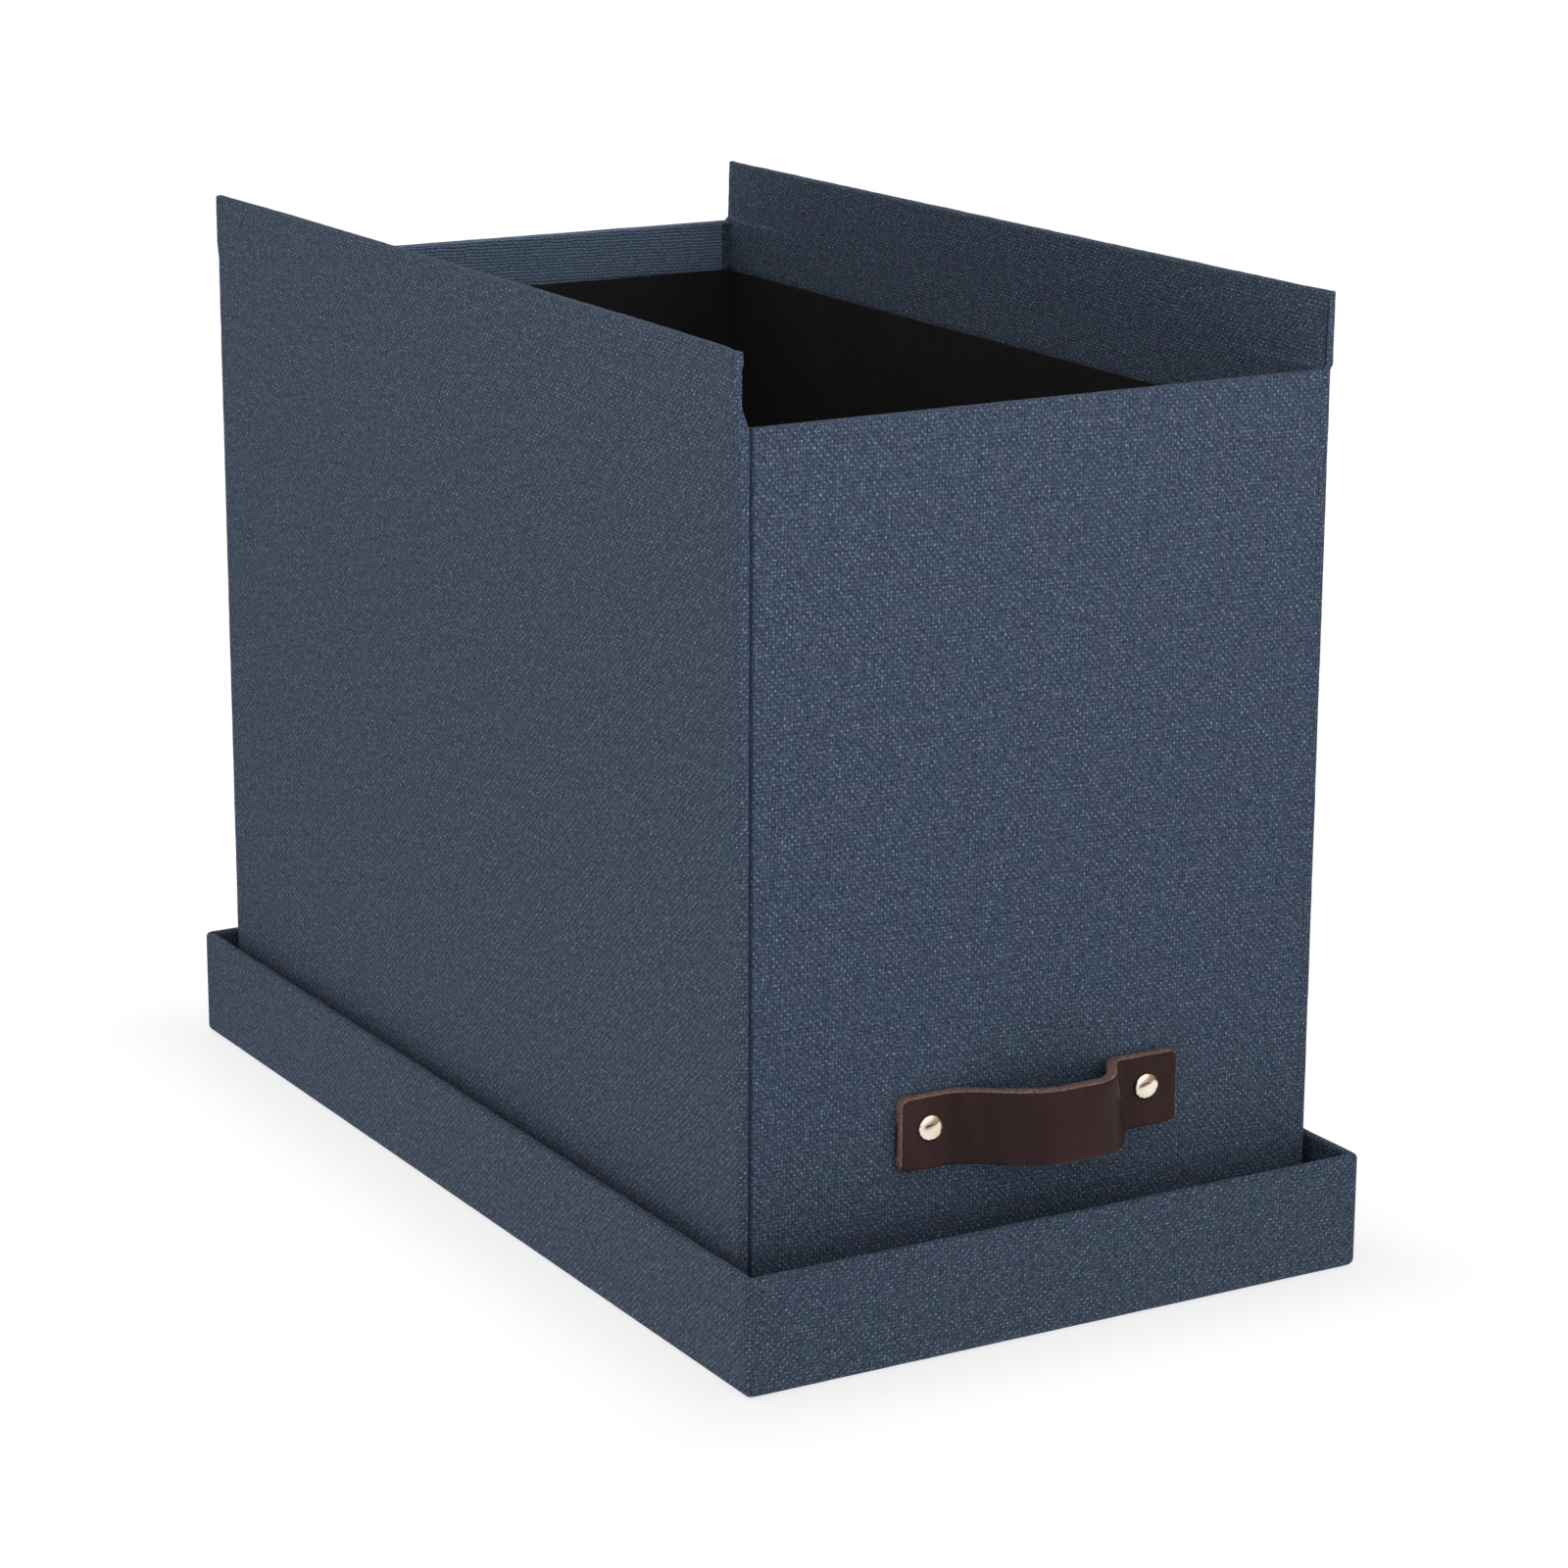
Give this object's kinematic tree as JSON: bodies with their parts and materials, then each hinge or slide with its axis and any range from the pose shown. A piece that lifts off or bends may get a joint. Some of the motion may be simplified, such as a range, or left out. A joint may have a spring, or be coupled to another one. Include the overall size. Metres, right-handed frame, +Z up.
{
  "type": "desktop hanging-file box with tray lid",
  "caption": "Open cloth-covered board box with tall long sides and lower ends for hanging folders, leather pull strap on the front, standing in its upturned tray lid.",
  "frame": {"origin": "middle of the lid's underside, on the surface that the part stands on", "axes": "+Z up; -Y is the front end with the pull strap, so the length runs along Y; +X is to the right as seen from the front, so the width runs along X"},
  "size_m": [0.199, 0.359, 0.2751],
  "materials": {
    "blue_canvas": "matt plain-weave canvas, blue-grey, slubby",
    "grey_board": "dense grey board, raw",
    "black_card": "matt black lining card",
    "stay_tape": "gummed kraft tape",
    "brown_leather": "dark brown leather, satin face, raw lighter cut edge",
    "nickel": "polished warm nickel plate"
  },
  "bodies": {
    "lid": {"lid_panel_board": "grey_board", "lid_panel_cover": "blue_canvas", "lid_panel_lining": "black_card", "lid_left_board": "grey_board", "lid_left_lining": "black_card", "lid_right_board": "grey_board", "lid_right_lining": "black_card", "lid_front_board": "grey_board", "lid_front_lining": "black_card", "lid_front_left_stay": "stay_tape", "lid_front_right_stay": "stay_tape", "lid_rear_board": "grey_board", "lid_rear_lining": "black_card", "lid_rear_left_stay": "stay_tape", "lid_rear_right_stay": "stay_tape", "lid_rim_cover": "blue_canvas"},
    "box": {"box_base_board": "grey_board", "box_base_cover": "blue_canvas", "box_base_lining": "black_card", "box_left_board": "grey_board", "box_left_lining": "black_card", "box_right_board": "grey_board", "box_right_lining": "black_card", "box_front_board": "grey_board", "box_front_lining": "black_card", "box_front_left_stay": "stay_tape", "box_front_right_stay": "stay_tape", "box_rear_board": "grey_board", "box_rear_lining": "black_card", "box_rear_left_stay": "stay_tape", "box_rear_right_stay": "stay_tape", "box_left_cover": "blue_canvas", "box_right_cover": "blue_canvas", "box_front_cover": "blue_canvas", "box_rear_cover": "blue_canvas", "handle_strap": "brown_leather", "left_rivet": "nickel", "left_rivet_cap": "nickel", "right_rivet": "nickel", "right_rivet_cap": "nickel"}
  },
  "joints": [
    {"name": "box_lift", "type": "slide", "parent": "lid", "child": "box", "axis": [0, 0, 1], "range_m": [0, 0.06]}
  ]
}
